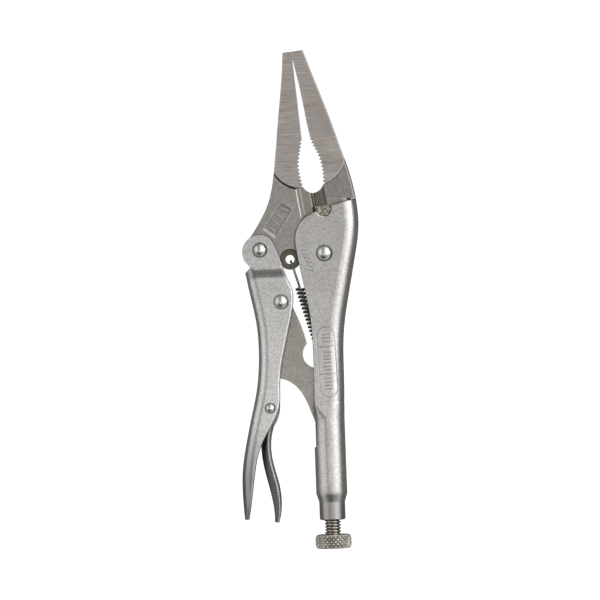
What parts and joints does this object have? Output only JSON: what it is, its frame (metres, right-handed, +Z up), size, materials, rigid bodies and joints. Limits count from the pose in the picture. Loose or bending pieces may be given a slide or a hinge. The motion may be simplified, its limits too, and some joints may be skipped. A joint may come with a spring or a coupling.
{
  "type": "locking pliers",
  "caption": "Long-nose locking pliers with toothed jaws, a wire cutter, an over-centre lever handle, a release lever and a knurled adjusting screw.",
  "frame": {"origin": "bottom centre of the bounding box, with the tool lying flat, locked shut", "axes": "+Y along the fixed handle's bore towards the jaw tips, +X towards the back of the fixed handle, +Z up along the pivots"},
  "size_m": [0.0574, 0.228, 0.019],
  "materials": {
    "satin_nickel": "bead-blasted satin nickel plate",
    "ground_steel": "ground flanks, satin nickel plate on the forged body",
    "polished_rivet": "polished nickel",
    "screw_plate": "nickel plate, slightly yellow",
    "spring_wire": "bright drawn wire",
    "weld_bead": "plated weld metal"
  },
  "bodies": {
    "fixed_frame": {"fixed_handle": "satin_nickel", "fixed_jaw": "ground_steel", "jaw_weld": "weld_bead", "jaw_pivot_rivet": "polished_rivet", "return_spring": "spring_wire"},
    "movable_jaw": {"movable_jaw": "ground_steel"},
    "lever": {"lever_handle": "satin_nickel", "lever_rivet": "polished_rivet", "link_rivet": "polished_rivet", "release_rivet": "polished_rivet"},
    "link": {"toggle_link": "satin_nickel"},
    "release": {"release_lever": "satin_nickel"},
    "screw_travel": {"screw_tip": "screw_plate"},
    "screw": {"adjusting_screw": "screw_plate"}
  },
  "joints": [
    {"name": "jaw_pivot", "type": "hinge", "parent": "fixed_frame", "child": "movable_jaw", "pos_m": [0.01248, 0.0209, 0.0095], "axis": [0, 0, 1], "range_deg": [0, 20], "deforming": ["return_spring"]},
    {"name": "lever_pivot", "type": "hinge", "parent": "movable_jaw", "child": "lever", "pos_m": [-0.01682, 0.0233, 0.0095], "axis": [0, 0, -1], "range_deg": [0, 72.1]},
    {"name": "link_pivot", "type": "hinge", "parent": "lever", "child": "link", "pos_m": [-0.00802, -0.0006, 0.0095], "axis": [0, 0, 1], "range_deg": [0, 73.1]},
    {"name": "release_pivot", "type": "hinge", "parent": "lever", "child": "release", "pos_m": [-0.01472, -0.0489, 0.0095], "axis": [0, 0, -1], "range_deg": [0, 9]},
    {"name": "screw_advance", "type": "slide", "parent": "fixed_frame", "child": "screw_travel", "axis": [0, -1, 0], "range_m": [0, 0.0127]},
    {"name": "screw_turn", "type": "hinge", "parent": "screw_travel", "child": "screw", "pos_m": [0.01198, -0.1076, 0.0095], "axis": [0, -1, 0], "range_deg": [0, 3240]}
  ],
  "couplings": [
    {"joint": "lever_pivot", "follows": "jaw_pivot", "ratio": 3.6},
    {"joint": "link_pivot", "follows": "jaw_pivot", "ratio": 3.65},
    {"joint": "screw_advance", "follows": "screw_turn", "m_per_rad": 0.00022457}
  ]
}
